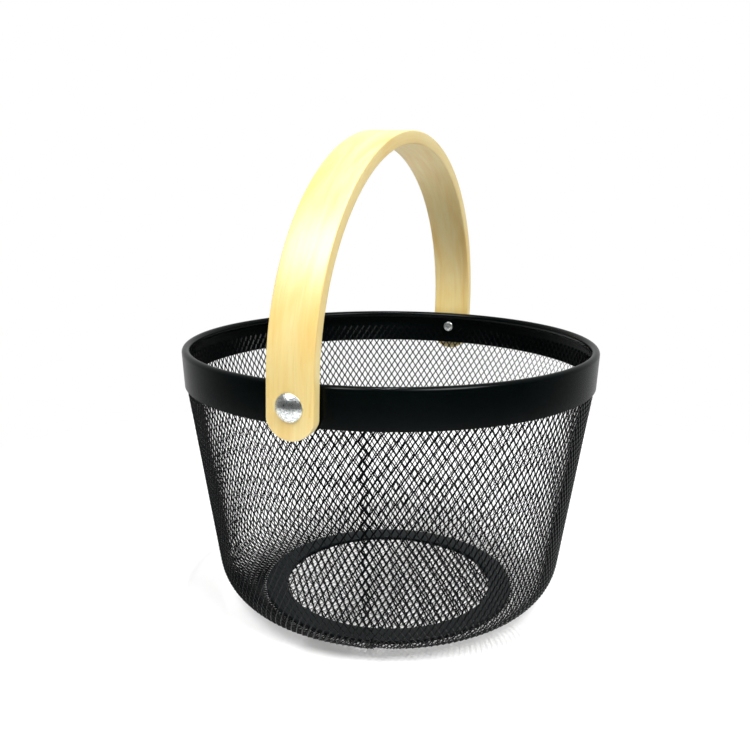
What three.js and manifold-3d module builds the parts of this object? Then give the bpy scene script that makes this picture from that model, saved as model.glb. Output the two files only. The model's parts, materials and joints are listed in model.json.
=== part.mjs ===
// A round wire produce basket with a bent-wood swing handle.
//
// Millimetres, +Z up. The origin is the middle of the base, on the surface the basket stands on.
// The handle's pivot line lies along X, so the handle swings towards +Y and -Y.
//
// An expanded-steel wall hangs inside a sheet-steel rim band whose top edge is rolled over. The wall
// curves in at the bottom, where its edge and a flat disc of steel mesh are trapped between two flat
// rings. A barrel nut through each end of the handle, the band and the wall takes a screw
// from inside the basket.

import * as THREE from 'three';
import { mergeVertices } from 'three/addons/utils/BufferGeometryUtils.js';
import Module from 'manifold-3d';

const wasm = await Module();
wasm.setup();

// ---- driving sizes -------------------------------------------------------------------------------

const ROUND_STEPS = 72; // facets in one turn of the large round parts
const FASTENER_STEPS = 24; // facets in one turn of the small round parts
const GAP = 0.3; // air left between neighbouring pieces

// rim band
const RIM_RADIUS = 125; // outside of the rolled edge
const RIM_TOP = 160;
const BEAD_RADIUS = 2.4; // outside radius of the rolled edge
const BAND_BOTTOM = 138;
const BAND_BOTTOM_RADIUS = 124;
const SHEET = 0.6; // sheet steel of the band and of both base rings
const HEM_TOP = 154.9; // the rolled edge ends in a short hem inside the wall's top edge
const HEM_BOTTOM = 153.9;
const HEM_RADIUS = 122.05; // inner face of the hem

// wall of expanded steel, drawn as a plain skin
const SKIN = 0.3; // the skin weighs what the open mesh weighs
const MESH_DEPTH = 1.2; // of the open mesh across its tilted strands
const WALL_TOP = 154;
const WALL_TOP_RADIUS = 123.9;
const WALL_BAND_RADIUS = BAND_BOTTOM_RADIUS - SHEET - GAP; // where the wall leaves the band
const KNEE_RADIUS = 103.4; // where the straight wall would meet the level of the base
const HEEL_RADIUS = 30; // the curve between wall and base
const WALL_INNER_EDGE = 70.4;

// base
const RING_OUTER = 79;
const RING_INNER = 65.3;
const LOWER_RING_TOP = 0.6;
const MESH_BOTTOM = 0.8;
const UPPER_RING_TOP = 2.6;
const RING_LIP = 0.5; // how far the upper ring's edges turn down
const DISC_RADIUS = 70;

// handle
const PIVOT_HEIGHT = 150;
const HANDLE_LEAN = 1.5; // degrees that the handle stands off upright, towards -Y
const STRAP_THICKNESS = 7.5;
const STRAP_WIDTH = 25.5;
const STRAP_INNER = 126.1; // half the inside span between the handle's legs
const LEG_RISE = 14; // straight leg above the pivot line
const ARCH_RISE = 120; // the arch's outer face above the straight legs
const END_DROP = 16.9; // the rounded ends below the pivot line
const END_RADIUS = 13.3;
const STRAP_EDGE = 0.8; // rounding along the strap's edges

// pivot fasteners
const BARREL_RADIUS = 2.5;
const BARREL_BORE = 1.8;
const HOLE_RADIUS = BARREL_RADIUS + GAP;
const DOME_RADIUS = 7.25;
const DOME_HEIGHT = 3.1;
const DOME_EDGE = 0.7; // straight edge under the dome
const WASHER_RADIUS = 5.2;
const WASHER_THICKNESS = 0.7;
const SCREW_HEAD_RADIUS = 3.5;
const SCREW_HEAD_HEIGHT = 2.2;
const SCREW_SHANK_RADIUS = BARREL_BORE - GAP;
const SCREW_LENGTH = 8;
const RECESS_WIDTH = 1.1;
const RECESS_SPAN = 4.2;
const RECESS_DEPTH = 1.1;

// ---- materials -----------------------------------------------------------------------------------

const finish = (color, roughness, metalness) =>
  new THREE.MeshStandardMaterial({ color, roughness, metalness });

const BLACK_PAINT = finish(0x1d2123, 0.5, 0.2);
const MESH_PAINT = finish(0x14171a, 0.45, 0.2);
const WOOD = finish(0xd9bd8b, 0.5, 0);
const ZINC = finish(0xb9babb, 0.3, 1);
const NYLON = finish(0xe4e2da, 0.6, 0);

// ---- helpers -------------------------------------------------------------------------------------

const at = (radius, height) => new THREE.Vector2(radius, height);

/** Points on an arc, from one angle to another in degrees. */
function arc(centre, radius, from, to, steps) {
  return Array.from({ length: steps + 1 }, (_, i) => {
    const angle = THREE.MathUtils.degToRad(from + ((to - from) * i) / steps);
    return at(centre.x + radius * Math.cos(angle), centre.y + radius * Math.sin(angle));
  });
}

/** The unit normal on the right-hand side of a path at one of its points. */
function pathNormal(path, i) {
  const before = path[Math.max(i - 1, 0)];
  const after = path[Math.min(i + 1, path.length - 1)];
  const along = after.clone().sub(before).normalize();
  return at(along.y, -along.x);
}

/** The closed outline of a sheet of the given thickness whose right-hand face follows a path. */
function sheetOutline(path, thickness) {
  const inset = (point, i) => point.clone().addScaledVector(pathNormal(path, i), -thickness);
  const otherFace = path.map(inset);
  return [...path, ...otherFace.reverse(), path[0].clone()];
}

/** Turns a closed outline of (radius, height) points about Z. */
function revolve(outline) {
  return new THREE.LatheGeometry(outline, ROUND_STEPS).rotateX(Math.PI / 2);
}

/** Turns a profile of (radius, distance) points about X, for the parts on the pivot line. */
function revolveAboutPivot(profile) {
  return new THREE.LatheGeometry(profile, FASTENER_STEPS).rotateZ(-Math.PI / 2);
}

/** A manifold solid with the shape of a closed geometry. */
function toSolid(geometry) {
  const bare = geometry.clone();
  bare.deleteAttribute('normal');
  bare.deleteAttribute('uv');
  const merged = mergeVertices(bare, 1e-4);
  return new wasm.Manifold(
    new wasm.Mesh({
      numProp: 3,
      vertProperties: new Float32Array(merged.attributes.position.array),
      triVerts: new Uint32Array(merged.index.array),
    }),
  );
}

/** The geometry of a manifold solid. */
function toGeometry(solid) {
  const { vertProperties, triVerts } = solid.getMesh();
  const geometry = new THREE.BufferGeometry();
  geometry.setAttribute('position', new THREE.BufferAttribute(vertProperties, 3));
  geometry.setIndex(new THREE.BufferAttribute(triVerts, 1));
  geometry.computeVertexNormals();
  return geometry;
}

/** A cylinder that crosses the whole basket along X, at the given height. */
function crossDrill(radius, height) {
  const length = 2.5 * RIM_RADIUS;
  return new THREE.CylinderGeometry(radius, radius, length, FASTENER_STEPS)
    .rotateZ(Math.PI / 2)
    .translate(0, 0, height);
}

/** Drills both pivot holes through a part that goes all round the basket. */
function withPivotHoles(geometry) {
  return toGeometry(toSolid(geometry).subtract(toSolid(crossDrill(HOLE_RADIUS, PIVOT_HEIGHT))));
}

function piece(name, geometry, material) {
  const mesh = new THREE.Mesh(geometry, material);
  mesh.name = name;
  return mesh;
}

// ---- basket --------------------------------------------------------------------------------------

/** The hoop of sheet steel: a tapered band, a rolled top edge and the hem that holds the wall. */
function rimBand() {
  const beadCentre = at(RIM_RADIUS - BEAD_RADIUS, RIM_TOP - BEAD_RADIUS);
  const outerFace = [
    at(BAND_BOTTOM_RADIUS, BAND_BOTTOM),
    ...arc(beadCentre, BEAD_RADIUS, 0, 225, 9),
    at(HEM_RADIUS, HEM_TOP),
    at(HEM_RADIUS, HEM_BOTTOM),
  ];
  return withPivotHoles(revolve(sheetOutline(outerFace, SHEET)));
}

/** The wall: up inside the band, straight down its taper, round the heel and in under the ring. */
function wallMesh() {
  const rise = BAND_BOTTOM - MESH_BOTTOM;
  const taper = Math.atan2(WALL_BAND_RADIUS - KNEE_RADIUS, rise);
  const heelCentre = at(
    KNEE_RADIUS - (HEEL_RADIUS * (1 - Math.sin(taper))) / Math.cos(taper),
    MESH_BOTTOM + HEEL_RADIUS,
  );
  const outerFace = [
    at(WALL_INNER_EDGE, MESH_BOTTOM),
    ...arc(heelCentre, HEEL_RADIUS, -90, -THREE.MathUtils.radToDeg(taper), 8),
    at(WALL_BAND_RADIUS, BAND_BOTTOM),
    at(WALL_TOP_RADIUS, WALL_TOP),
  ];
  return withPivotHoles(revolve(sheetOutline(outerFace, SKIN)));
}

/** The disc of mesh inside the rings. */
function baseMesh() {
  return revolve([
    at(0, MESH_BOTTOM),
    at(DISC_RADIUS, MESH_BOTTOM),
    at(DISC_RADIUS, MESH_BOTTOM + SKIN),
    at(0, MESH_BOTTOM + SKIN),
  ]);
}

/** The ring inside the basket, whose edges turn down over the mesh. */
function upperRing() {
  const lipBottom = UPPER_RING_TOP - SHEET - RING_LIP;
  return revolve([
    at(RING_INNER, lipBottom),
    at(RING_INNER + SHEET, lipBottom),
    at(RING_INNER + SHEET, UPPER_RING_TOP - SHEET),
    at(RING_OUTER - SHEET, UPPER_RING_TOP - SHEET),
    at(RING_OUTER - SHEET, lipBottom),
    at(RING_OUTER, lipBottom),
    at(RING_OUTER, UPPER_RING_TOP - SHEET / 2),
    at(RING_OUTER - SHEET / 2, UPPER_RING_TOP),
    at(RING_INNER + SHEET / 2, UPPER_RING_TOP),
    at(RING_INNER, UPPER_RING_TOP - SHEET / 2),
    at(RING_INNER, lipBottom),
  ]);
}

/** The flat ring that the basket stands on. */
function lowerRing() {
  return revolve([
    at(RING_INNER, 0),
    at(RING_OUTER, 0),
    at(RING_OUTER, LOWER_RING_TOP),
    at(RING_INNER, LOWER_RING_TOP),
    at(RING_INNER, 0),
  ]);
}

// ---- handle --------------------------------------------------------------------------------------

/** One face of the arch, as (x, height above the pivot) points: legs and an elliptical arch. */
function archFace(inset) {
  const halfSpan = STRAP_INNER + STRAP_THICKNESS;
  const steps = 40;
  const arch = Array.from({ length: steps + 1 }, (_, i) => {
    const angle = (Math.PI * i) / steps;
    const onOuter = at(halfSpan * Math.cos(angle), ARCH_RISE * Math.sin(angle));
    const normal = at(onOuter.x / halfSpan ** 2, onOuter.y / ARCH_RISE ** 2).normalize();
    return onOuter.addScaledVector(normal, -inset).add(at(0, LEG_RISE));
  });
  return [at(halfSpan - inset, -END_DROP - 1), ...arch, at(inset - halfSpan, -END_DROP - 1)];
}

/** The outline that rounds the strap's two ends, as (y, height above the pivot) points. */
function endOutline() {
  const clear = STRAP_WIDTH;
  const top = 2 * ARCH_RISE;
  const endCentre = at(0, END_RADIUS - END_DROP);
  const outline = [
    at(clear, top),
    at(-clear, top),
    at(-clear, endCentre.y),
    ...arc(endCentre, END_RADIUS, 180, 360, 24),
    at(clear, endCentre.y),
  ];
  return new THREE.Shape(outline);
}

/** The bent strap, drilled for its pivots, with the pivot line on its own X axis. */
function handleStrap() {
  const arch = new THREE.Shape([...archFace(0), ...archFace(STRAP_THICKNESS).reverse()]);
  const strap = new THREE.ExtrudeGeometry(arch, {
    depth: STRAP_WIDTH - 2 * STRAP_EDGE,
    bevelSize: STRAP_EDGE,
    bevelOffset: -STRAP_EDGE,
    bevelThickness: STRAP_EDGE,
    bevelSegments: 2,
  })
    .rotateX(Math.PI / 2)
    .translate(0, STRAP_WIDTH / 2 - STRAP_EDGE, 0);
  const spanLength = 3 * STRAP_INNER;
  const ends = new THREE.ExtrudeGeometry(endOutline(), { depth: spanLength, bevelEnabled: false })
    .rotateX(Math.PI / 2)
    .rotateZ(Math.PI / 2)
    .translate(-spanLength / 2, 0, 0);
  const rounded = toSolid(strap).intersect(toSolid(ends));
  return toGeometry(rounded.subtract(toSolid(crossDrill(HOLE_RADIUS, 0))));
}

// ---- pivot fasteners, on the +X side, with the pivot line on the X axis ----------------------------

const HANDLE_OUTER = STRAP_INNER + STRAP_THICKNESS;
const WALL_PIVOT_RADIUS = THREE.MathUtils.mapLinear(
  PIVOT_HEIGHT,
  BAND_BOTTOM,
  WALL_TOP,
  WALL_BAND_RADIUS,
  WALL_TOP_RADIUS,
);
const SCREW_SEAT = WALL_PIVOT_RADIUS - MESH_DEPTH; // the inside of the mesh, where the screw sits

/** The domed barrel nut: a crowned head outside the handle and a tapped barrel through it. */
function barrelNut() {
  const headFace = HANDLE_OUTER + GAP / 2;
  const crownRise = DOME_HEIGHT - DOME_EDGE;
  const crownRadius = (DOME_RADIUS ** 2 + crownRise ** 2) / (2 * crownRise);
  const crownCentre = at(0, headFace + DOME_HEIGHT - crownRadius);
  const crownHalf = THREE.MathUtils.radToDeg(Math.asin(DOME_RADIUS / crownRadius));
  const barrelEnd = SCREW_SEAT + GAP;
  const boreEnd = HANDLE_OUTER - BARREL_RADIUS;
  const crown = arc(crownCentre, crownRadius, 90 - crownHalf, 90, 8);
  crown[crown.length - 1].x = 0;
  return revolveAboutPivot([
    at(0, boreEnd),
    at(BARREL_BORE, boreEnd),
    at(BARREL_BORE, barrelEnd),
    at(BARREL_RADIUS, barrelEnd),
    at(BARREL_RADIUS, headFace),
    at(DOME_RADIUS, headFace),
    ...crown,
  ]);
}

/** The flat washer that keeps the wood off the band. */
function spacerWasher() {
  const bandSide = STRAP_INNER - GAP - WASHER_THICKNESS;
  return revolveAboutPivot([
    at(HOLE_RADIUS, bandSide),
    at(WASHER_RADIUS, bandSide),
    at(WASHER_RADIUS, bandSide + WASHER_THICKNESS),
    at(HOLE_RADIUS, bandSide + WASHER_THICKNESS),
    at(HOLE_RADIUS, bandSide),
  ]);
}

/** The cross-recessed pan-head screw that enters the barrel from inside the basket. */
function pivotScrew() {
  const headTop = SCREW_SEAT - SCREW_HEAD_HEIGHT;
  const edge = 0.8;
  const blank = revolveAboutPivot([
    at(0, headTop),
    at(SCREW_HEAD_RADIUS - 2 * edge, headTop),
    at(SCREW_HEAD_RADIUS - edge / 2, headTop + edge / 2),
    at(SCREW_HEAD_RADIUS, headTop + 2 * edge),
    at(SCREW_HEAD_RADIUS, SCREW_SEAT),
    at(SCREW_SHANK_RADIUS, SCREW_SEAT),
    at(SCREW_SHANK_RADIUS, SCREW_SEAT + SCREW_LENGTH),
    at(0, SCREW_SEAT + SCREW_LENGTH),
  ]);
  const bar = (width, height) => {
    const depth = 2 * RECESS_DEPTH;
    return toSolid(new THREE.BoxGeometry(depth, width, height).translate(headTop, 0, 0));
  };
  const cross = bar(RECESS_WIDTH, RECESS_SPAN).add(bar(RECESS_SPAN, RECESS_WIDTH));
  return toGeometry(toSolid(blank).subtract(cross));
}

/** The three fasteners of one pivot. The left set is the right set turned half round. */
function pivotSet(side, turn) {
  const set = new THREE.Group();
  set.position.z = PIVOT_HEIGHT;
  set.rotation.z = turn;
  set.add(
    piece(`barrel_nut_${side}`, barrelNut(), ZINC),
    piece(`spacer_washer_${side}`, spacerWasher(), NYLON),
    piece(`pivot_screw_${side}`, pivotScrew(), ZINC),
  );
  return set;
}

// ---- the whole basket ----------------------------------------------------------------------------

const basket = new THREE.Group();
basket.add(
  piece('rim_band', rimBand(), BLACK_PAINT),
  piece('wall_mesh', wallMesh(), MESH_PAINT),
  piece('base_mesh', baseMesh(), MESH_PAINT),
  piece('base_ring_upper', upperRing(), BLACK_PAINT),
  piece('base_ring_lower', lowerRing(), BLACK_PAINT),
  pivotSet('right', 0),
  pivotSet('left', Math.PI),
);

const swing = new THREE.Group();
swing.position.z = PIVOT_HEIGHT;
swing.rotation.x = THREE.MathUtils.degToRad(HANDLE_LEAN);
swing.add(piece('handle', handleStrap(), WOOD));
basket.add(swing);

export default basket;
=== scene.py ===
"""Looks of a wire produce basket with a bent-wood swing handle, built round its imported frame.

Metres, +Z up. The origin is the middle of the base, and the handle's pivot line lies along X.
"""

import json
import math
from bisect import bisect_left

import bmesh
import bpy
from mathutils import Matrix, Vector


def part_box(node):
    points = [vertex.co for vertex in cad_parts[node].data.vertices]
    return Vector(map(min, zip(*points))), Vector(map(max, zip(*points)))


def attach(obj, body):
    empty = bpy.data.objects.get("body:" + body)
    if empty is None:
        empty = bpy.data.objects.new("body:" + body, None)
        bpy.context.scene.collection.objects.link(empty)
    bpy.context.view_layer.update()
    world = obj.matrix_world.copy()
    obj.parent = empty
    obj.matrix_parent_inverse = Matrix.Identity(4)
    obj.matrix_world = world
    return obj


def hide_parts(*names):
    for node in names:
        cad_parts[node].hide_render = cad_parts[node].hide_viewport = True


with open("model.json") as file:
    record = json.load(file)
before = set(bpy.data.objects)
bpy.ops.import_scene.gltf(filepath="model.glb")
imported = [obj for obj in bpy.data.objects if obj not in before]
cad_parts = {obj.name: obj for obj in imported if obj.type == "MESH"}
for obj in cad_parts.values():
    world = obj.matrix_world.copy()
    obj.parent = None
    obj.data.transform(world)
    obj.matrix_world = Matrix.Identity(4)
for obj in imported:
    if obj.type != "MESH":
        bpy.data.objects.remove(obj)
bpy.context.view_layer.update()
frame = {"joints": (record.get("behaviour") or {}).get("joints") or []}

# ---- sizes --------------------------------------------------------------------------------------

MM = 0.001

ROUND_STEPS = 288  # facets in one turn of the large round parts
SMALL_STEPS = 64  # facets in one turn of the fasteners
EDGE_STEPS = 8  # facets along a small rounded edge
SMOOTH_LIMIT = 35  # degrees, edges sharper than this stay crisp
ON_AXIS = 1e-9  # a radius below this is on the axis
WELD = 1e-7  # points nearer each other than this become one

# rim band
RIM_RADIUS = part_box("rim_band")[1].x
RIM_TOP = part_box("rim_band")[1].z
BAND_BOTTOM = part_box("rim_band")[0].z
BAND_BOTTOM_RADIUS = RIM_RADIUS - 1.0 * MM
BAND_EDGE_RISE = 0.5 * MM  # the band's lowest strip is a trace steeper than the rest
BAND_EDGE_FLARE = 0.02 * MM
BEAD_RADIUS = 2.4 * MM
BEAD_TURN = 225  # degrees that the top edge is rolled over
BEAD_STEPS = 36
SHEET = 0.6 * MM
HEM_TOP = RIM_TOP - 5.1 * MM
HEM_BOTTOM = RIM_TOP - 6.1 * MM
HEM_RADIUS = RIM_RADIUS - 2.95 * MM

# base rings
RING_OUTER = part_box("base_ring_upper")[1].x
RING_INNER = RING_OUTER - 13.7 * MM
RING_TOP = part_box("base_ring_upper")[1].z
RING_LIP_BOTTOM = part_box("base_ring_upper")[0].z
RING_EDGE = 0.9 * MM  # rounding of the turned-down edges
FOOT_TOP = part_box("base_ring_lower")[1].z
FOOT_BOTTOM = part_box("base_ring_lower")[0].z
MESH_LEVEL = (FOOT_TOP + RING_LIP_BOTTOM) / 2  # middle of the mesh between the rings

# expanded mesh of the wall
WALL_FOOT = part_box("wall_mesh")[0].z
WALL_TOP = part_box("wall_mesh")[1].z
WALL_TOP_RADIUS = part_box("wall_mesh")[1].x
WALL_TOP_ROOM = 0.5 * MM  # from the end of the mesh's middle line to the wall's top
WALL_BAND_RADIUS = BAND_BOTTOM_RADIUS - SHEET - 0.3 * MM
KNEE_RADIUS = 103.4 * MM
HEEL_RADIUS = 30 * MM
HEEL_START = -86  # degrees, where the curve leaves the level of the base
HEEL_STEPS = 40
WALL_INNER_EDGE = 70.8 * MM
WALL_LEVEL_END = RING_OUTER - 1.5 * MM  # the wall's mesh lies level out to here
WALL_PRESSED = WALL_INNER_EDGE + 9 * MM  # the rings press the wall's mesh flat within this radius
COLUMNS = 166  # diamonds round the wall
STRAND_SPAN = 4.08 * MM  # from one knuckle of the wall to the next
STRAND_WIDTH = 0.65 * MM
STRAND_THICKNESS = 0.28 * MM
KNUCKLE_RISE = 0.5 * MM  # from a knuckle's middle to its top
STRAND_TILT = 0.45 * MM  # how far a knuckle's side corners stand out of and into the sheet
PRESSED_TILT = 0.12 * MM  # the same where the mesh is trapped between sheets
LAP_COLUMNS = 2  # diamonds that the wall's two ends share at the seam
LAP_SHIFT = 0.08  # how far the lapped diamonds miss each other, in columns
LAP_DRIFT = 0.1  # and in rows
LAP_STEP = 0.38 * MM  # how far each lapped end stands off the wall's middle
LAP_STEP_PRESSED = 0.3  # the share of that step where the mesh is trapped between sheets
LAP_EASE = 2  # columns over which an end steps off
SEAM_AZIMUTH = math.radians(193.85)

# expanded mesh of the disc
DISC_RADIUS = 70.2 * MM
DISC_ACROSS = 4.26 * MM  # the disc's diamonds, the short way
DISC_ALONG = 8.16 * MM  # and the long way
DISC_STRAND_WIDTH = 0.80 * MM
DISC_TURN = math.radians(6.4)  # from +X to the long way of the disc's diamonds
DISC_FREE = RING_INNER - 2 * MM  # the rings press the disc's mesh flat beyond this radius

# handle
PIVOT = Vector(frame["joints"][0]["pos_m"])
HANDLE_LEAN = math.radians(1.5)
STRAP_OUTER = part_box("handle")[1].x
STRAP_THICKNESS = 7.5 * MM
STRAP_WIDTH = 25.5 * MM
STRAP_EDGE = 0.8 * MM
STRAP_EDGE_STEPS = 5
STRAP_SMOOTH_LIMIT = 40  # degrees
LEG_RISE = 14 * MM
LEG_STEPS = 60
ARCH_RISE = 120 * MM
ARCH_STEPS = 220
END_DROP = 16.9 * MM
END_RADIUS = 13.3 * MM
END_STEPS = 14  # cross lines round each end
RUN_STEPS = 240  # cross lines between the ends
TIP_HALF_WIDTH = 0.001 * MM  # half a cross line that counts as one point is shorter than this

# pivot fasteners
BARREL_RADIUS = 2.5 * MM
BARREL_BORE = 1.8 * MM
BARREL_BORE_DEPTH = 9 * MM
BARREL_CHAMFER = 0.2 * MM
BARREL_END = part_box("barrel_nut_right")[0].x
HOLE_RADIUS = BARREL_RADIUS + 0.3 * MM
DRILL_REACH = 1.5  # times the reach of the piece that is drilled
DOME_RADIUS = 7.25 * MM
DOME_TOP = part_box("barrel_nut_right")[1].x
DOME_HEIGHT = 3.1 * MM
CROWN_STEPS = 18
FLANGE_HEIGHT = 0.55 * MM  # the thin edge under the domed crown
FLANGE_WIDTH = 0.35 * MM
FLANGE_ROUND = 0.2 * MM  # rounding of the flange's side
FLANGE_ROUND_LEVEL = 0.25 * MM  # from the flange's foot to the rounding's middle
FLANGE_ROUND_START = -60  # degrees
FLANGE_ROUND_STEPS = 5
FLANGE_FOOT_INSET = 0.15 * MM
DOME_SMOOTH_LIMIT = 30  # degrees
WASHER_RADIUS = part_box("spacer_washer_right")[1].y
WASHER_FACES = (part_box("spacer_washer_right")[0].x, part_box("spacer_washer_right")[1].x)
WASHER_CHAMFER = 0.12 * MM
SCREW_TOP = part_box("pivot_screw_right")[0].x
SCREW_HEAD_HEIGHT = 2.2 * MM
SCREW_HEAD_RADIUS = 3.5 * MM
SCREW_CROWN_INSET = 1.6 * MM  # from the head's side to where its top starts to fall
SCREW_CROWN_FALL = 0.1 * MM
SCREW_EDGE = 0.9 * MM  # rounding of the head's edge
SCREW_EDGE_START = -80  # degrees
SCREW_EDGE_FALL = 0.2 * MM
SCREW_SHANK_RADIUS = 1.5 * MM
SCREW_LENGTH = 8 * MM
SCREW_TIP_CHAMFER = 0.4 * MM
RECESS_WIDTH = 1.0 * MM
RECESS_SPAN = 4.2 * MM
RECESS_DEPTH = 1.3 * MM
RECESS_FOOT = (0.55, 0.8)  # the shares of its span and its width at the bottom

# studio
FLOOR_RADIUS = 0.47
FLOOR_STEPS = 96
AIR_BEYOND = 0.6  # brightness of the air that is reflected from beyond the object
AIR_BEFORE = 0.04  # and from the camera's side
AIR_RISE = 0.3  # the direction of the brightest air goes up this much for each unit along the floor
AIR_FADE = (-0.3, 0.8)  # along that direction, where the brightness starts to rise and where it stops
LAMPS_AIM = (0, 0, 0.1)
LAMPS = (  # name, place, width and watts
    ("key", (-1.0, 0.5, 1.7), 1.0, 30),
    ("fill", (-0.6, -1.1, 1.6), 1.0, 36),
    ("top", (-0.12, -0.04, 2.6), 0.06, 16),
)

# view, with angles in radians
CAMERA_DISTANCE = 512.3 * MM  # from the basket's axis, along the floor
CAMERA_HEIGHT = 253.7 * MM
CAMERA_AZIMUTH = math.radians(20.93)  # from -X towards -Y
CAMERA_TURN = 0.0179  # to the left of the axis
CAMERA_DOWN = 0.2220
CAMERA_ROLL = 0.0030  # anticlockwise
CAMERA_LENS = 40.68  # millimetres
CAMERA_SENSOR = 36  # millimetres wide
CAMERA_NEAR = 0.01


# ---- outlines and meshes ------------------------------------------------------------------------


def arc(centre, radius, start, stop, steps):
    """Points on an arc, from one angle to another in degrees."""
    angles = [math.radians(start + (stop - start) * i / steps) for i in range(steps + 1)]
    return [(centre[0] + radius * math.cos(a), centre[1] + radius * math.sin(a)) for a in angles]


def path_normals(path):
    """The unit normal on the right-hand side of a path at each of its points."""
    normals = []
    for i in range(len(path)):
        before = Vector(path[max(i - 1, 0)])
        after = Vector(path[min(i + 1, len(path) - 1)])
        along = (after - before).normalized()
        normals.append((along.y, -along.x))
    return normals


def sheet_outline(path, thickness):
    """The closed outline of a sheet whose right-hand face follows a path."""
    normals = path_normals(path)

    def inset(i, depth):
        return (path[i][0] - normals[i][0] * depth, path[i][1] - normals[i][1] * depth)

    outer = [inset(i, 0) for i in range(len(path))]
    inner = [inset(i, thickness) for i in reversed(range(len(path)))]
    return outer + inner


def running_lengths(points):
    """The distance along a path of vectors from its start to each of its points."""
    lengths = [0.0]
    for a, b in zip(points, points[1:]):
        lengths.append(lengths[-1] + (b - a).length)
    return lengths


def stretch_at(lengths, distance):
    """The number of the stretch of a path that a distance along it falls in."""
    return min(bisect_left(lengths, distance, 1), len(lengths) - 1) - 1


def new_object(name, mesh):
    made = bpy.data.objects.new(name, mesh)
    bpy.context.scene.collection.objects.link(made)
    return made


def from_bmesh(name, work, sharp=SMOOTH_LIMIT):
    """An object that takes the bmesh's faces, smooth apart from edges sharper than an angle."""
    bmesh.ops.recalc_face_normals(work, faces=work.faces)
    mesh = bpy.data.meshes.new(name)
    work.to_mesh(mesh)
    work.free()
    mesh.shade_smooth()
    mesh.set_sharp_from_angle(angle=math.radians(sharp))
    return new_object(name, mesh)


def revolve(name, outline, steps, sharp=SMOOTH_LIMIT):
    """Turns a closed outline of (radius, height) points about Z."""
    work = bmesh.new()
    points = [work.verts.new((radius, 0, height)) for radius, height in outline]
    on_axis = [radius < ON_AXIS for radius, _ in outline]
    edges = []
    for i, point in enumerate(points):
        after = (i + 1) % len(points)
        if not (on_axis[i] and on_axis[after]):
            edges.append(work.edges.new((point, points[after])))
    bmesh.ops.spin(
        work,
        geom=points + edges,
        cent=(0, 0, 0),
        axis=(0, 0, 1),
        angle=math.tau,
        steps=steps,
        use_merge=True,
    )
    bmesh.ops.remove_doubles(work, verts=work.verts, dist=WELD)
    return from_bmesh(name, work, sharp)


def cut(piece, tools, sharp=SMOOTH_LIMIT):
    """Cuts the tools out of a piece and removes them."""
    for tool in tools:
        change = piece.modifiers.new("cut", "BOOLEAN")
        change.operation = "DIFFERENCE"
        change.solver = "EXACT"
        change.object = tool
    bpy.context.view_layer.update()
    seen = piece.evaluated_get(bpy.context.evaluated_depsgraph_get())
    mesh = bpy.data.meshes.new_from_object(seen)
    piece.modifiers.clear()
    piece.data = mesh
    mesh.shade_smooth()
    mesh.set_sharp_from_angle(angle=math.radians(sharp))
    for tool in tools:
        bpy.data.objects.remove(tool)


def pivot_drill(reach, height):
    """A round tool along X that cuts both pivot holes, for a piece that reaches so far out."""
    end = DRILL_REACH * reach
    outline = [(0, -end), (HOLE_RADIUS, -end), (HOLE_RADIUS, end), (0, end)]
    tool = revolve("tool", outline, SMALL_STEPS)
    along_x = Matrix.Rotation(math.pi / 2, 4, "Y")
    tool.data.transform(Matrix.Translation((0, 0, height)) @ along_x)
    return tool


# ---- materials ----------------------------------------------------------------------------------

# the sockets of a colour mix, by number because its sockets for numbers have the same names
MIX_FACTOR, MIX_FIRST, MIX_SECOND, MIX_RESULT = 0, 6, 7, 2

EVENLY = (1, 1, 1)
WHITE = (1, 1, 1)

# the strap's grain is drawn out along it: (along, across, through)
BROAD_GRAIN = (14, 85, 85)
FINE_GRAIN = (14, 620, 620)
PORES = (60, 2600, 2600)
AMBER_WOOD = (0.82, 0.56, 0.17)
STRAW_WOOD = (0.85, 0.665, 0.265)
CREAM_WOOD = (0.87, 0.73, 0.36)
STREAK_TINT = (0.86, 0.80, 0.70)
PORE_TINT = (0.72, 0.62, 0.48)

WORN_ZINC = (0.34, 0.38, 0.38)
BRIGHT_ZINC = (0.80, 0.82, 0.81)
SCRATCH_DRAW = (1, 3, 0.4)


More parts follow.
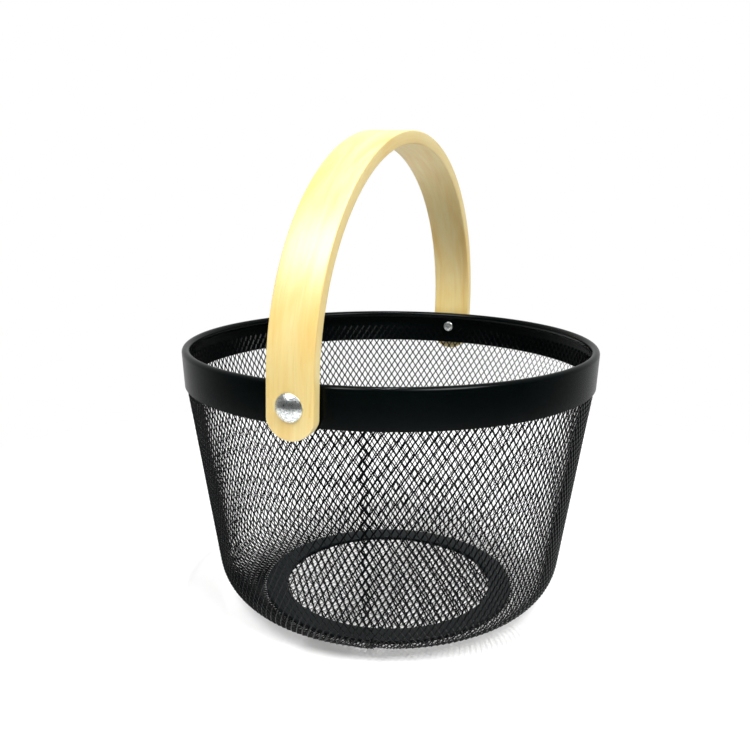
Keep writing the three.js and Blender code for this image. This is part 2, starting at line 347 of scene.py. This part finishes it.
class Shader:
    """A material's nodes, added one by one and linked by their sockets' names."""

    def __init__(self, name, **constants):
        self.material = bpy.data.materials.new(name)
        self.material.use_nodes = True
        self.tree = self.material.node_tree
        self.surface = self.tree.nodes["Principled BSDF"]
        for socket, value in constants.items():
            self.surface.inputs[socket.replace("_", " ")].default_value = value

    def node(self, kind, inputs=None, **settings):
        made = self.tree.nodes.new(kind)
        for key, value in settings.items():
            setattr(made, key, value)
        for socket, value in (inputs or {}).items():
            if isinstance(value, bpy.types.NodeSocket):
                self.tree.links.new(value, made.inputs[socket])
            else:
                made.inputs[socket].default_value = value
        return made

    def place(self, scale):
        """The object's own coordinates, in metres, times a scale for each axis."""
        source = self.node("ShaderNodeTexCoord").outputs["Object"]
        return self.node("ShaderNodeMapping", {"Vector": source, "Scale": scale}).outputs["Vector"]

    def noise(self, vector, scale, detail=3.0, roughness=0.55, distortion=0.0):
        inputs = {
            "Vector": vector,
            "Scale": scale,
            "Detail": detail,
            "Roughness": roughness,
            "Distortion": distortion,
        }
        return self.node("ShaderNodeTexNoise", inputs).outputs["Fac"]

    def ramp(self, factor, stops):
        """Colours or greys at positions from 0 to 1."""
        made = self.node("ShaderNodeValToRGB", {"Fac": factor})
        band = made.color_ramp
        while len(band.elements) < len(stops):
            band.elements.new(0.5)
        for element, (position, colour) in zip(band.elements, stops):
            grey = isinstance(colour, (int, float))
            element.position = position
            element.color = (colour, colour, colour, 1) if grey else (*colour, 1)
        return made.outputs["Color"]

    def multiply(self, factor, first, second):
        """The first colour, tinted in part by the second."""
        made = self.node("ShaderNodeMix", data_type="RGBA", blend_type="MULTIPLY")
        made.inputs[MIX_FACTOR].default_value = factor
        self.tree.links.new(first, made.inputs[MIX_FIRST])
        self.tree.links.new(second, made.inputs[MIX_SECOND])
        return made.outputs[MIX_RESULT]

    def bump(self, height, strength, distance, normal=None):
        inputs = {"Height": height, "Strength": strength, "Distance": distance}
        if normal is not None:
            inputs["Normal"] = normal
        return self.node("ShaderNodeBump", inputs).outputs["Normal"]

    def drive(self, socket, value):
        self.tree.links.new(value, self.surface.inputs[socket])


def black_paint(name, dark, light, level, sheen):
    """Black powder coat: fine orange peel, and a little unevenness in its colour and its gloss."""
    made = Shader(name, Metallic=0.0, Specular_IOR_Level=level)
    everywhere = made.place(EVENLY)
    drift = made.noise(everywhere, scale=28, detail=4)
    made.drive("Base Color", made.ramp(drift, [(0.3, dark), (0.7, light)]))
    speckle = made.noise(everywhere, scale=420, detail=2)
    made.drive("Roughness", made.ramp(speckle, [(0.3, sheen), (0.7, sheen + 0.05)]))
    peel = made.noise(everywhere, scale=900, detail=2)
    made.drive("Normal", made.bump(peel, strength=0.10, distance=0.05 * MM))
    return made.material


def band_paint():
    """The band's coat is the smoothest."""
    dark = (0.0005, 0.0016, 0.0016)
    light = (0.0012, 0.0027, 0.0027)
    return black_paint("band_paint", dark, light, level=0.1, sheen=0.19)


def ring_paint():
    """The rings' coat is the greyest and the dullest."""
    dark = (0.0018, 0.0040, 0.0050)
    light = (0.0036, 0.0066, 0.0078)
    return black_paint("ring_paint", dark, light, level=0.2, sheen=0.34)


def mesh_paint():
    """The mesh's coat is the deepest black."""
    dark = (0.0003, 0.0009, 0.0012)
    light = (0.0009, 0.0018, 0.0023)
    return black_paint("mesh_paint", dark, light, level=0.1, sheen=0.22)


def strap_wood():
    """Pale bent wood. The strap's own coordinates run along it, across it and through it."""
    made = Shader("strap_wood", Specular_IOR_Level=1.0)
    along = made.node("ShaderNodeAttribute", attribute_name="strap_place").outputs["Vector"]

    def stretched(scale):
        return made.node("ShaderNodeMapping", {"Vector": along, "Scale": scale}).outputs["Vector"]

    broad = made.noise(stretched(BROAD_GRAIN), scale=1.0, detail=3, distortion=0.8)
    tone = made.ramp(broad, [(0.30, AMBER_WOOD), (0.5, STRAW_WOOD), (0.72, CREAM_WOOD)])
    fine = made.noise(stretched(FINE_GRAIN), scale=1.0, detail=5, roughness=0.65)
    streak = made.ramp(fine, [(0.36, STREAK_TINT), (0.60, WHITE)])
    streaked = made.multiply(0.22, tone, streak)
    pores = made.noise(stretched(PORES), scale=1.0, detail=2)
    dots = made.ramp(pores, [(0.30, PORE_TINT), (0.38, WHITE)])
    made.drive("Base Color", made.multiply(0.25, streaked, dots))
    made.drive("Roughness", made.ramp(fine, [(0.3, 0.42), (0.7, 0.34)]))
    made.drive("Normal", made.bump(fine, strength=0.06, distance=0.05 * MM))
    return made.material


def dome_zinc():
    """Zinc plate, worn duller and darker in specks, with small dents and scratches."""
    made = Shader("dome_zinc", Metallic=1.0)
    everywhere = made.place(EVENLY)
    wear = made.noise(everywhere, scale=1000, detail=5)
    made.drive("Base Color", made.ramp(wear, [(0.36, WORN_ZINC), (0.58, BRIGHT_ZINC)]))
    made.drive("Roughness", made.ramp(wear, [(0.3, 0.38), (0.7, 0.24)]))
    dents = made.noise(everywhere, scale=1300, detail=2)
    dented = made.bump(dents, strength=1.0, distance=0.13 * MM)
    scratches = made.noise(made.place(SCRATCH_DRAW), scale=2600, detail=2)
    made.drive("Normal", made.bump(scratches, strength=0.15, distance=0.03 * MM, normal=dented))
    return made.material


def washer_nylon():
    """Natural nylon, a little mottled."""
    made = Shader("washer_nylon", Roughness=0.5, Subsurface_Weight=0.1)
    mottle = made.noise(made.place(EVENLY), scale=300)
    made.drive("Base Color", made.ramp(mottle, [(0.3, (0.70, 0.68, 0.62)), (0.7, (0.78, 0.77, 0.72))]))
    made.drive("Normal", made.bump(mottle, strength=0.1, distance=0.04 * MM))
    return made.material


def floor_paper():
    """Plain pale studio paper, with a faint glow of its own."""
    made = Shader("floor_paper", Roughness=0.9, Specular_IOR_Level=0.0, Emission_Strength=0.06)
    made.surface.inputs["Emission Color"].default_value = (*WHITE, 1)
    fibres = made.noise(made.place(EVENLY), scale=90)
    made.drive("Base Color", made.ramp(fibres, [(0.3, (0.86, 0.86, 0.86)), (0.7, (0.88, 0.88, 0.88))]))
    return made.material


# ---- rim band and rings -------------------------------------------------------------------------


def rim_band():
    """The tapered band, its rolled top edge and the short hem inside, as one sheet."""
    bead = (RIM_RADIUS - BEAD_RADIUS, RIM_TOP - BEAD_RADIUS)
    outer = [
        (BAND_BOTTOM_RADIUS, BAND_BOTTOM),
        (BAND_BOTTOM_RADIUS + BAND_EDGE_FLARE, BAND_BOTTOM + BAND_EDGE_RISE),
        *arc(bead, BEAD_RADIUS, 0, BEAD_TURN, BEAD_STEPS),
        (HEM_RADIUS, HEM_TOP),
        (HEM_RADIUS, HEM_BOTTOM),
    ]
    made = revolve("rim_band_sheet", sheet_outline(outer, SHEET), ROUND_STEPS)
    cut(made, [pivot_drill(RIM_RADIUS, PIVOT.z)])
    return made


def upper_ring():
    """The ring inside the basket. Its edges turn down over the mesh in small rounds."""
    outer = [
        (RING_OUTER, RING_LIP_BOTTOM),
        *arc((RING_OUTER - RING_EDGE, RING_TOP - RING_EDGE), RING_EDGE, 0, 90, EDGE_STEPS),
        *arc((RING_INNER + RING_EDGE, RING_TOP - RING_EDGE), RING_EDGE, 90, 180, EDGE_STEPS),
        (RING_INNER, RING_LIP_BOTTOM),
    ]
    return revolve("base_ring_cover", sheet_outline(outer, SHEET), ROUND_STEPS)


def lower_ring():
    """The flat ring that the basket stands on, with its sheared edges eased."""
    middle = (FOOT_TOP + FOOT_BOTTOM) / 2
    edge = (FOOT_TOP - FOOT_BOTTOM) / 2
    outline = [
        *arc((RING_OUTER - edge, middle), edge, -90, 90, EDGE_STEPS),
        *arc((RING_INNER + edge, middle), edge, 90, 270, EDGE_STEPS),
    ]
    return revolve("base_ring_foot", outline, ROUND_STEPS)


# ---- expanded mesh ------------------------------------------------------------------------------

CORNERS = ("top", "right", "bottom", "left")


def expanded_mesh(name, knuckles, place, thickness):
    """A sheet of expanded metal as one closed solid.

    knuckles maps (column, row) to that knuckle's (half width, half height, tilt) in metres. Odd rows
    stand half a column to the right. place(key, across, along, out) gives a point near a knuckle.
    Each knuckle is a small rhombus, and a strand joins each of its four sides to a neighbour.
    """
    work = bmesh.new()
    verts = {}
    for key, (half_width, half_height, tilt) in knuckles.items():
        slope = math.hypot(half_width, tilt)
        shift = (-tilt / slope, half_width / slope)
        offsets = {
            "top": (0, half_height, 0),
            "right": (half_width, 0, tilt),
            "bottom": (0, -half_height, 0),
            "left": (-half_width, 0, -tilt),
        }
        for corner, (across, along, out) in offsets.items():
            for side in (1, -1):
                half = side * thickness / 2
                point = place(key, across + shift[0] * half, along, out + shift[1] * half)
                verts[key, corner, side] = work.verts.new(point)

    def face(*corners):
        work.faces.new([verts[c] for c in corners])

    def edge_wall(a, b):
        face((*a, -1), (*b, -1), (*b, 1), (*a, 1))

    def both_faces(*corners):
        face(*[(*c, 1) for c in corners])
        face(*[(*c, -1) for c in reversed(corners)])

    def strand(a, b, c, d):
        """A strand with corners a, b, c and d in turn. Its sides a-b and c-d are free edges."""
        both_faces(a, b, c, d)
        edge_wall(a, b)
        edge_wall(c, d)

    for column, row in knuckles:
        here = (column, row)
        right = column + row % 2
        both_faces(*[(here, corner) for corner in reversed(CORNERS)])
        above_right = (right, row + 1)
        above_left = (right - 1, row + 1)
        below_right = (right, row - 1)
        below_left = (right - 1, row - 1)
        if above_right in knuckles:
            strand((here, "right"), (above_right, "bottom"), (above_right, "left"), (here, "top"))
        else:
            edge_wall((here, "right"), (here, "top"))
        if above_left in knuckles:
            strand((here, "top"), (above_left, "right"), (above_left, "bottom"), (here, "left"))
        else:
            edge_wall((here, "top"), (here, "left"))
        if below_left not in knuckles:
            edge_wall((here, "left"), (here, "bottom"))
        if below_right not in knuckles:
            edge_wall((here, "bottom"), (here, "right"))
    mesh = bpy.data.meshes.new(name)
    work.to_mesh(mesh)
    work.free()
    return new_object(name, mesh)


def knuckle_size(across, along, strand_width):
    """Half width and half height of a knuckle whose neighbour stands that far across and along.

    The half width is the one that gives the strand between them its width.
    """
    level_width = strand_width * math.hypot(across, along) / along
    strand_rise = along - KNUCKLE_RISE
    half_width = (level_width * strand_rise - KNUCKLE_RISE * across) / (strand_rise - KNUCKLE_RISE)
    return half_width, KNUCKLE_RISE


class Profile:
    """A path of (radius, height) points, read by the distance along it."""

    def __init__(self, points):
        self.points = [Vector(p) for p in points]
        self.lengths = running_lengths(self.points)

    def at(self, distance):
        """The point there and the unit normal on the path's right."""
        i = stretch_at(self.lengths, distance)
        a, b = self.points[i], self.points[i + 1]
        along = (b - a).normalized()
        point = a + along * (distance - self.lengths[i])
        return point, Vector((along.y, -along.x))


def wall_profile():
    """The middle of the wall's mesh: out from under the ring, round the heel and up into the band."""
    depth = STRAND_TILT + STRAND_THICKNESS / 2
    taper = math.atan2(WALL_BAND_RADIUS - KNEE_RADIUS, BAND_BOTTOM - WALL_FOOT)
    heel = (
        KNEE_RADIUS - HEEL_RADIUS * (1 - math.sin(taper)) / math.cos(taper),
        WALL_FOOT + HEEL_RADIUS,
    )
    return Profile(
        [
            (WALL_INNER_EDGE, MESH_LEVEL),
            (WALL_LEVEL_END, MESH_LEVEL),
            *arc(heel, HEEL_RADIUS - depth, HEEL_START, -math.degrees(taper), HEEL_STEPS),
            (WALL_BAND_RADIUS - depth, BAND_BOTTOM),
            (WALL_TOP_RADIUS - depth, WALL_TOP - WALL_TOP_ROOM),
        ]
    )


def ease(value):
    """From 0 to 1, with a soft start and end."""
    value = min(max(value, 0.0), 1.0)
    return value * value * (3 - 2 * value)


def wall_rows(profile, pitch):
    """Each row's distance up the wall, and half its diamonds' width and height there."""
    rows = [0.0]
    spans = []
    while True:
        radius = profile.at(rows[-1])[0].x
        across = radius * pitch / 2
        along = math.sqrt(STRAND_SPAN**2 - across**2)
        spans.append((across, along))
        if rows[-1] + 2 * along > profile.lengths[-1]:
            return rows, spans
        rows.append(rows[-1] + along)


def wall_net():
    """The wall's mesh, rolled to a cone and lapped at a seam that runs up the wall."""
    profile = wall_profile()
    pitch = math.tau / (COLUMNS + LAP_SHIFT)
    rows, spans = wall_rows(profile, pitch)

    def place(key, across, along, out):
        column, row = key
        turn = column + row % 2 / 2
        distance = rows[row] + along + LAP_DRIFT * spans[row][1] * turn / COLUMNS
        point, normal = profile.at(distance)
        start_side = 1 - ease((turn - LAP_COLUMNS + 0.5) / LAP_EASE)
        end_side = ease((turn - COLUMNS + LAP_EASE + 0.5) / LAP_EASE)
        trapped = point.x < WALL_PRESSED or point.y > BAND_BOTTOM
        out += LAP_STEP * (LAP_STEP_PRESSED if trapped else 1.0) * (end_side - start_side)
        radius = point.x + normal.x * out
        angle = SEAM_AZIMUTH + turn * pitch + across / point.x
        return (radius * math.cos(angle), radius * math.sin(angle), point.y + normal.y * out)

    knuckles = {}
    for row, (across, along) in enumerate(spans):
        pressed = profile.at(rows[row])[0].x < WALL_PRESSED
        tilt = PRESSED_TILT if pressed else STRAND_TILT
        size = knuckle_size(across, along, STRAND_WIDTH)
        for column in range(COLUMNS + LAP_COLUMNS - row % 2):
            knuckles[column, row] = (*size, tilt)
    return expanded_mesh("wall_net", knuckles, place, STRAND_THICKNESS)


def disc_net():
    """The disc's mesh, cut round, with its diamonds a few degrees off the pivot line."""
    half_across, half_along = DISC_ACROSS / 2, DISC_ALONG / 2
    size = knuckle_size(half_across, half_along, DISC_STRAND_WIDTH)
    across_way = Vector((math.sin(DISC_TURN), -math.cos(DISC_TURN)))
    along_way = Vector((math.cos(DISC_TURN), math.sin(DISC_TURN)))

    def centre(key):
        column, row = key
        return across_way * (column + row % 2 / 2) * DISC_ACROSS + along_way * row * half_along

    def place(key, across, along, out):
        flat = centre(key) + across_way * across + along_way * along
        return (flat.x, flat.y, MESH_LEVEL + out)

    reach = DISC_RADIUS - size[1]
    columns = int(DISC_RADIUS / DISC_ACROSS) + 2
    rows = int(DISC_RADIUS / half_along) + 2
    knuckles = {}
    for row in range(-rows, rows + 1):
        for column in range(-columns, columns + 1):
            away = centre((column, row)).length
            if away < reach:
                tilt = PRESSED_TILT if away > DISC_FREE else STRAND_TILT
                knuckles[column, row] = (*size, tilt)
    return expanded_mesh("disc_net", knuckles, place, STRAND_THICKNESS)


# ---- handle -------------------------------------------------------------------------------------


def strap_stations():
    """Points on the strap's middle line from end to end, each with the outward normal.

    Both are vectors of x and the height above the pivot.
    """
    middle = STRAP_OUTER - STRAP_THICKNESS / 2
    stations = []
    for i in range(LEG_STEPS):
        height = -END_DROP + (END_DROP + LEG_RISE) * i / LEG_STEPS
        stations.append((Vector((middle, height)), Vector((1, 0))))
    for i in range(ARCH_STEPS + 1):
        angle = math.pi * i / ARCH_STEPS
        on_outer = Vector((STRAP_OUTER * math.cos(angle), ARCH_RISE * math.sin(angle)))
        normal = Vector((on_outer.x / STRAP_OUTER**2, on_outer.y / ARCH_RISE**2)).normalized()
        point = on_outer - normal * STRAP_THICKNESS / 2 + Vector((0, LEG_RISE))
        stations.append((point, normal))
    for i in range(1, LEG_STEPS + 1):
        height = LEG_RISE - (END_DROP + LEG_RISE) * i / LEG_STEPS
        stations.append((Vector((-middle, height)), Vector((-1, 0))))
    return stations


class StrapLine:
    """The strap's middle line, read by the distance from the strap's first end."""

    def __init__(self):
        self.stations = strap_stations()
        self.lengths = running_lengths([point for point, _ in self.stations])
        self.total = self.lengths[-1]

    def at(self, distance):
        """The point there and the outward normal."""
        i = stretch_at(self.lengths, distance)
        share = (distance - self.lengths[i]) / (self.lengths[i + 1] - self.lengths[i])
        (point, normal), (next_point, next_normal) = self.stations[i], self.stations[i + 1]
        return point.lerp(next_point, share), normal.lerp(next_normal, share).normalized()


def strap_levels():
    """The strap's levels from its inner face to its outer one, through the eased edges.

    Each is (how far its sides stand in, how far out from the middle it lies).
    """
    outer = []
    for i in range(STRAP_EDGE_STEPS + 1):
        angle = math.pi / 2 * i / STRAP_EDGE_STEPS
        inset = STRAP_EDGE * (1 - math.cos(angle))
        out = STRAP_THICKNESS / 2 - STRAP_EDGE * (1 - math.sin(angle))
        outer.append((inset, out))
    return [(inset, -out) for inset, out in reversed(outer)] + outer


def strap_distances(total, inset):
    """Where a level's cross lines lie along the strap. They are closest round its two ends."""
    radius = END_RADIUS - inset
    turns = [math.pi / 2 * i / END_STEPS for i in range(END_STEPS + 1)]
    start = [END_RADIUS - radius * math.cos(turn) for turn in turns]
    run = total - 2 * start[-1]
    middle = [start[-1] + run * i / RUN_STEPS for i in range(1, RUN_STEPS)]
    return start + middle + [total - distance for distance in reversed(start)]


def strap_half_width(drop, inset):
    """Half a level's width at a drop from the strap's nearer end, for a level inset at its sides."""
    radius = END_RADIUS - inset
    full = STRAP_WIDTH / 2 - inset
    rise = END_RADIUS - drop
    if rise <= 0:
        return full
    return min(full, math.sqrt(max(radius**2 - rise**2, 0)))


def strap():
    """The bent strap: rounded ends, eased edges and the two pivot holes."""
    line = StrapLine()
    work = bmesh.new()
    place_layer = work.verts.layers.float_vector.new("strap_place")

    def vertex(distance, across, out):
        point, normal = line.at(distance)
        spot = point + normal * out
        made = work.verts.new((spot.x, across, spot.y))
        made[place_layer] = (distance, across, out)
        return made

    def cross_line(distance, inset, out):
        """The two ends of a line across a level. At the strap's tip they are one point."""
        half = strap_half_width(min(distance, line.total - distance), inset)
        if half < TIP_HALF_WIDTH:
            tip = vertex(distance, 0, out)
            return (tip, tip)
        return (vertex(distance, -half, out), vertex(distance, half, out))

    def quad(*corners):
        distinct = list(dict.fromkeys(corners))
        if len(distinct) > 2:
            work.faces.new(distinct)

    levels = []
    for inset, out in strap_levels():
        levels.append([cross_line(d, inset, out) for d in strap_distances(line.total, inset)])
    for below, above in zip(levels, levels[1:]):
        for i in range(len(below) - 1):
            quad(below[i][0], above[i][0], above[i + 1][0], below[i + 1][0])
            quad(below[i][1], below[i + 1][1], above[i + 1][1], above[i][1])
    for level, flip in ((levels[0], False), (levels[-1], True)):
        for a, b in zip(level, level[1:]):
            corners = (a[0], b[0], b[1], a[1])
            quad(*(reversed(corners) if flip else corners))
    made = from_bmesh("bent_strap", work, sharp=STRAP_SMOOTH_LIMIT)
    cut(made, [pivot_drill(STRAP_OUTER, 0)], sharp=STRAP_SMOOTH_LIMIT)
    made.data.transform(Matrix.Translation(PIVOT) @ Matrix.Rotation(HANDLE_LEAN, 4, "X"))
    return made


# ---- pivot fasteners ----------------------------------------------------------------------------


def onto_pivot(piece, side):
    """Turns a piece made about Z so that it lies on the pivot line, on the side given by 1 or -1."""
    along_x = Matrix.Rotation(side * math.pi / 2, 4, "Y")
    piece.data.transform(Matrix.Translation((0, 0, PIVOT.z)) @ along_x)
    return piece


def domed_nut(name, side):
    """The crowned head with its thin flange, and the bored barrel through handle and band."""
    face = DOME_TOP - DOME_HEIGHT
    crown_foot = DOME_RADIUS - FLANGE_WIDTH
    rise = DOME_HEIGHT - FLANGE_HEIGHT
    radius = (crown_foot**2 + rise**2) / (2 * rise)
    half = math.degrees(math.asin(crown_foot / radius))
    crown = arc((0, DOME_TOP - radius), radius, 90 - half, 90, CROWN_STEPS)
    crown[-1] = (0, DOME_TOP)
    flange_round = (DOME_RADIUS - FLANGE_ROUND, face + FLANGE_ROUND_LEVEL)
    outline = [
        (0, BARREL_END + BARREL_BORE_DEPTH),
        (BARREL_BORE, BARREL_END + BARREL_BORE_DEPTH),
        (BARREL_BORE, BARREL_END),
        (BARREL_RADIUS - BARREL_CHAMFER, BARREL_END),
        (BARREL_RADIUS, BARREL_END + BARREL_CHAMFER),
        (BARREL_RADIUS, face),
        (DOME_RADIUS - FLANGE_FOOT_INSET, face),
        *arc(flange_round, FLANGE_ROUND, FLANGE_ROUND_START, 90, FLANGE_ROUND_STEPS),
        *crown,
    ]
    return onto_pivot(revolve(name, outline, SMALL_STEPS, sharp=DOME_SMOOTH_LIMIT), side)


def washer(name, side):
    """A flat ring with chamfered outer edges."""
    low, high = WASHER_FACES
    outline = [
        (HOLE_RADIUS, low),
        (WASHER_RADIUS - WASHER_CHAMFER, low),
        (WASHER_RADIUS, low + WASHER_CHAMFER),
        (WASHER_RADIUS, high - WASHER_CHAMFER),
        (WASHER_RADIUS - WASHER_CHAMFER, high),
        (HOLE_RADIUS, high),
    ]
    return onto_pivot(revolve(name, outline, SMALL_STEPS), side)


def recess_bar(turn):
    """One bar of the cross recess, turned by an angle. It narrows towards the recess's bottom."""
    work = bmesh.new()
    bmesh.ops.create_cube(work, size=1)
    for v in work.verts:
        span, width = RECESS_FOOT if v.co.z > 0 else (1.0, 1.0)
        v.co.x *= RECESS_SPAN * span
        v.co.y *= RECESS_WIDTH * width
        v.co.z *= 2 * RECESS_DEPTH
    tool = from_bmesh("tool", work)
    tool.data.transform(Matrix.Translation((0, 0, SCREW_TOP)) @ Matrix.Rotation(turn, 4, "Z"))
    return tool


def pan_screw(name, side):
    """The pan-head screw with its cross recess, whose shank goes into the barrel."""
    seat = SCREW_TOP + SCREW_HEAD_HEIGHT
    tip = seat + SCREW_LENGTH
    head_edge = (SCREW_HEAD_RADIUS - SCREW_EDGE, SCREW_TOP + SCREW_EDGE + SCREW_EDGE_FALL)
    outline = [
        (0, SCREW_TOP),
        (SCREW_HEAD_RADIUS - SCREW_CROWN_INSET, SCREW_TOP + SCREW_CROWN_FALL),
        *arc(head_edge, SCREW_EDGE, SCREW_EDGE_START, 0, EDGE_STEPS),
        (SCREW_HEAD_RADIUS, seat),
        (SCREW_SHANK_RADIUS, seat),
        (SCREW_SHANK_RADIUS, tip - SCREW_TIP_CHAMFER),
        (SCREW_SHANK_RADIUS - SCREW_TIP_CHAMFER, tip),
        (0, tip),
    ]
    made = revolve(name, outline, SMALL_STEPS)
    cut(made, [recess_bar(0), recess_bar(math.pi / 2)])
    return onto_pivot(made, side)


# ---- putting it together ------------------------------------------------------------------------


def finish_piece(piece, node, body, material):
    """Gives a piece its material, in its only slot, and its body, and hides the frame node that it
    stands for.
    """
    piece.data.materials.clear()
    piece.data.materials.append(material)
    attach(piece, body)
    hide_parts(node)


def add_basket():
    paint = band_paint()
    rings = ring_paint()
    net = mesh_paint()
    zinc = dome_zinc()
    nylon = washer_nylon()
    finish_piece(rim_band(), "rim_band", "basket", paint)
    finish_piece(upper_ring(), "base_ring_upper", "basket", rings)
    finish_piece(lower_ring(), "base_ring_lower", "basket", rings)
    finish_piece(wall_net(), "wall_mesh", "basket", net)
    finish_piece(disc_net(), "base_mesh", "basket", net)
    finish_piece(strap(), "handle", "handle", strap_wood())
    for side, word in ((1, "right"), (-1, "left")):
        nut = domed_nut(f"domed_nut_{word}", side)
        finish_piece(nut, f"barrel_nut_{word}", "basket", zinc)
        spacer = washer(f"washer_{word}", side)
        finish_piece(spacer, f"spacer_washer_{word}", "basket", nylon)
        screw = pan_screw(f"pan_screw_{word}", side)
        finish_piece(screw, f"pivot_screw_{word}", "basket", zinc)


def add_floor():
    """A plain pale floor that runs out into the white of the studio."""
    work = bmesh.new()
    bmesh.ops.create_circle(work, cap_ends=True, segments=FLOOR_STEPS, radius=FLOOR_RADIUS)
    floor = from_bmesh("floor", work)
    floor.data.materials.append(floor_paper())


def add_lamp(name, place, width, watts):
    """A soft round lamp that faces the basket."""
    lamp = bpy.data.lights.new(name, "AREA")
    lamp.shape = "DISK"
    lamp.size = width
    lamp.energy = watts
    made = bpy.data.objects.new(name, lamp)
    made.location = place
    made.rotation_mode = "QUATERNION"
    made.rotation_quaternion = (Vector(LAMPS_AIM) - Vector(place)).to_track_quat("-Z", "Y")
    bpy.context.scene.collection.objects.link(made)


def add_world():
    """White studio air. Its reflections are bright from beyond the object and dim from before it."""
    world = bpy.data.worlds.new("studio")
    bpy.context.scene.world = world
    world.use_nodes = True
    tree = world.node_tree
    seen = tree.nodes["Background"]
    seen.inputs["Color"].default_value = (*WHITE, 1)
    air = tree.nodes.new("ShaderNodeBackground")
    air.inputs["Color"].default_value = (*WHITE, 1)
    way = tree.nodes.new("ShaderNodeTexCoord")
    beyond = tree.nodes.new("ShaderNodeVectorMath")
    beyond.operation = "DOT_PRODUCT"
    beyond.inputs[1].default_value = (math.cos(CAMERA_AZIMUTH), math.sin(CAMERA_AZIMUTH), AIR_RISE)
    amount = tree.nodes.new("ShaderNodeMapRange")
    amount.inputs["From Min"].default_value = AIR_FADE[0]
    amount.inputs["From Max"].default_value = AIR_FADE[1]
    amount.inputs["To Min"].default_value = AIR_BEFORE
    amount.inputs["To Max"].default_value = AIR_BEYOND
    ray = tree.nodes.new("ShaderNodeLightPath")
    both = tree.nodes.new("ShaderNodeMixShader")
    tree.links.new(way.outputs["Generated"], beyond.inputs[0])
    tree.links.new(beyond.outputs["Value"], amount.inputs["Value"])
    tree.links.new(amount.outputs["Result"], air.inputs["Strength"])
    tree.links.new(ray.outputs["Is Camera Ray"], both.inputs[0])
    tree.links.new(air.outputs[0], both.inputs[1])
    tree.links.new(seen.outputs[0], both.inputs[2])
    tree.links.new(both.outputs[0], tree.nodes["World Output"].inputs["Surface"])


def add_camera():
    """Looks down into the basket from beside the near pivot."""
    lens = bpy.data.cameras.new("camera")
    lens.sensor_width = CAMERA_SENSOR
    lens.lens = CAMERA_LENS
    lens.clip_start = CAMERA_NEAR
    made = bpy.data.objects.new("camera", lens)
    up = Vector((0, 0, 1))
    away = Vector((math.cos(CAMERA_AZIMUTH), math.sin(CAMERA_AZIMUTH), 0))
    heading = CAMERA_AZIMUTH + CAMERA_TURN
    level = Vector((math.cos(heading), math.sin(heading), 0))
    right = Vector((math.sin(heading), -math.cos(heading), 0))
    forward = level * math.cos(CAMERA_DOWN) - up * math.sin(CAMERA_DOWN)
    above = right.cross(forward)
    rolled_right = right * math.cos(CAMERA_ROLL) + above * math.sin(CAMERA_ROLL)
    rolled_above = above * math.cos(CAMERA_ROLL) - right * math.sin(CAMERA_ROLL)
    axes = Matrix((rolled_right, rolled_above, -forward)).transposed()
    place = up * CAMERA_HEIGHT - away * CAMERA_DISTANCE
    made.matrix_world = Matrix.Translation(place) @ axes.to_4x4()
    bpy.context.scene.collection.objects.link(made)
    bpy.context.scene.camera = made


add_camera()
add_world()
for lamp in LAMPS:
    add_lamp(*lamp)
add_floor()
add_basket()
bpy.context.scene.view_settings.view_transform = "Standard"
